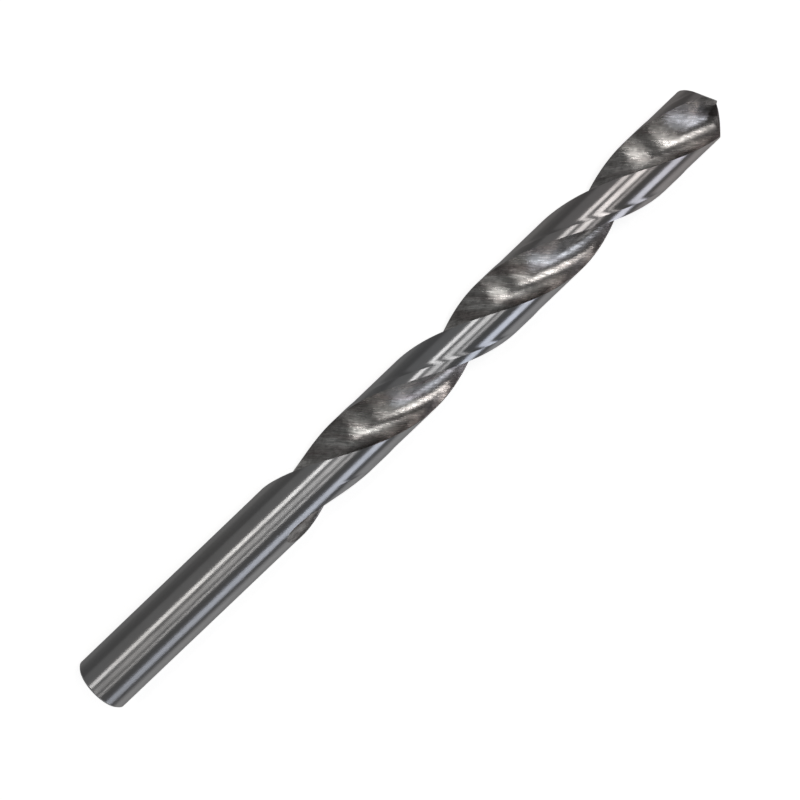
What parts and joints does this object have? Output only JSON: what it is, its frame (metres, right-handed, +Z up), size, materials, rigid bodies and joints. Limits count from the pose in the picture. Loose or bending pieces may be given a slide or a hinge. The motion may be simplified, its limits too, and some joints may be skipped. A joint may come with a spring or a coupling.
{
  "type": "twist drill bit",
  "caption": "Right-hand twist drill bit with a plain round shank, helical flutes, narrow margins and a relieved cone point.",
  "frame": {"origin": "centre of the bounding box seen from above, at the surface the bit lies on", "axes": "+X along the bit from the shank towards the point, +Z up from the surface the bit lies on"},
  "size_m": [0.1253, 0.0092, 0.0092],
  "materials": {
    "ground_steel": "bright ground, unpainted"
  },
  "bodies": {
    "root": {"drill_bit": "ground_steel"}
  },
  "joints": []
}
